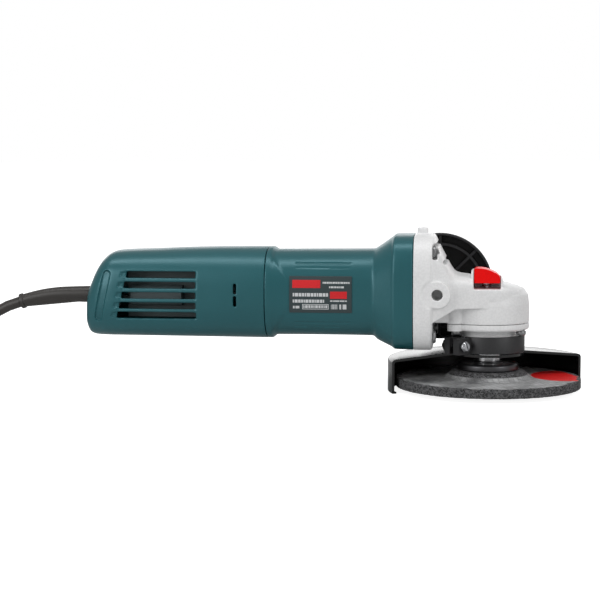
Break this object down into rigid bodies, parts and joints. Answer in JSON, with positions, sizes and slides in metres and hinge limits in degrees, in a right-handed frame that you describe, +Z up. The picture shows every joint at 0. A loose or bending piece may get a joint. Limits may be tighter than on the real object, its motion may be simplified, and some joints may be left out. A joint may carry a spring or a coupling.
{
  "type": "angle grinder",
  "caption": "Corded hand-held angle grinder with a teal motor body, light grey gear head, black guard, side handle and a grinding disc.",
  "frame": {"origin": "centre of the spindle's lower end face", "axes": "+X along the motor axis towards the gear head, +Y towards the side handle, +Z up along the spindle"},
  "size_m": [0.5334, 0.212, 0.1017],
  "materials": {
    "teal_plastic": "fine-grained teal moulding, satin",
    "grey_paint": "light grey satin paint on cast metal",
    "black_steel": "black painted steel, satin",
    "bright_steel": "bright zinc-plated or ground steel",
    "black_plastic": "black moulding, fine texture",
    "red_plastic": "red moulding, semi-gloss",
    "cord_rubber": "brown-black rubber, matte",
    "abrasive": "bonded abrasive grain, rough",
    "label_plate": "dark grey printed plate",
    "laminated_steel": "stacked electrical steel",
    "copper_wire": "enamelled copper winding",
    "brass": "drawn brass",
    "carbon": "pressed carbon block, matte"
  },
  "bodies": {
    "tool": {"rear_cover": "teal_plastic", "rear_cover_screw": "bright_steel", "motor_housing": "teal_plastic", "rating_plate": "label_plate", "switch_module": "black_plastic", "cord_clamp": "black_plastic", "stator_core": "laminated_steel", "field_coil_top": "copper_wire", "field_coil_bottom": "copper_wire", "air_baffle": "black_plastic", "armature_bearing_rear": "bright_steel", "armature_bearing_front": "bright_steel", "gear_head": "grey_paint", "bearing_flange": "grey_paint", "lock_spring": "bright_steel", "spindle_bearing_upper": "bright_steel", "spindle_bearing_lower": "bright_steel", "side_handle": "black_plastic", "side_handle_stud": "bright_steel", "cord_coil": "cord_rubber", "cord_tie": "black_plastic", "plug_body": "cord_rubber", "plug_pin_left": "bright_steel", "plug_pin_right": "bright_steel", "cord_sleeve": "cord_rubber", "power_cord": "cord_rubber", "power_cord_tail": "cord_rubber", "brush_spring_far": "bright_steel", "brush_holder_far": "brass", "carbon_brush_far": "carbon", "brush_spring_near": "bright_steel", "brush_holder_near": "brass", "carbon_brush_near": "carbon", "gear_head_screw_1": "bright_steel", "bearing_flange_screw_1": "bright_steel", "gear_head_screw_2": "bright_steel", "bearing_flange_screw_2": "bright_steel", "gear_head_screw_3": "bright_steel", "bearing_flange_screw_3": "bright_steel", "gear_head_screw_4": "bright_steel", "bearing_flange_screw_4": "bright_steel"},
    "armature": {"armature_core": "laminated_steel", "armature_windings": "copper_wire", "armature_shaft": "bright_steel", "commutator": "copper_wire", "cooling_fan": "black_plastic", "bevel_pinion": "bright_steel"},
    "spindle_assembly": {"spindle": "bright_steel", "crown_gear": "bright_steel", "inner_flange": "black_steel", "grinding_disc": "abrasive", "clamping_nut": "black_steel"},
    "lock": {"lock_button": "red_plastic", "lock_pin": "bright_steel"},
    "switch": {"switch_slider": "black_plastic", "switch_rod": "black_plastic"},
    "guard_assembly": {"guard": "black_steel", "clamp_collar": "black_steel", "clamp_screw": "bright_steel", "clamp_nut": "black_steel"}
  },
  "joints": [
    {"name": "spindle_spin", "type": "hinge", "parent": "tool", "child": "spindle_assembly", "pos_m": [0, 0, 0.03], "axis": [0, 0, 1], "continuous": true},
    {"name": "armature_spin", "type": "hinge", "parent": "tool", "child": "armature", "pos_m": [-0.1, 0, 0.059], "axis": [1, 0, 0], "continuous": true},
    {"name": "lock_button_press", "type": "slide", "parent": "tool", "child": "lock", "axis": [0, 0, -1], "range_m": [0, 0.0034], "stiffness_N_per_m": 600, "springref_m": -0.001},
    {"name": "switch_slide", "type": "slide", "parent": "tool", "child": "switch", "axis": [1, 0, 0], "range_m": [0, 0.006]},
    {"name": "guard_turn", "type": "hinge", "parent": "tool", "child": "guard_assembly", "pos_m": [0, 0, 0.02], "axis": [0, 0, 1], "range_deg": [-60, 120]}
  ],
  "couplings": [
    {"joint": "armature_spin", "follows": "spindle_spin", "ratio": -2.75}
  ]
}
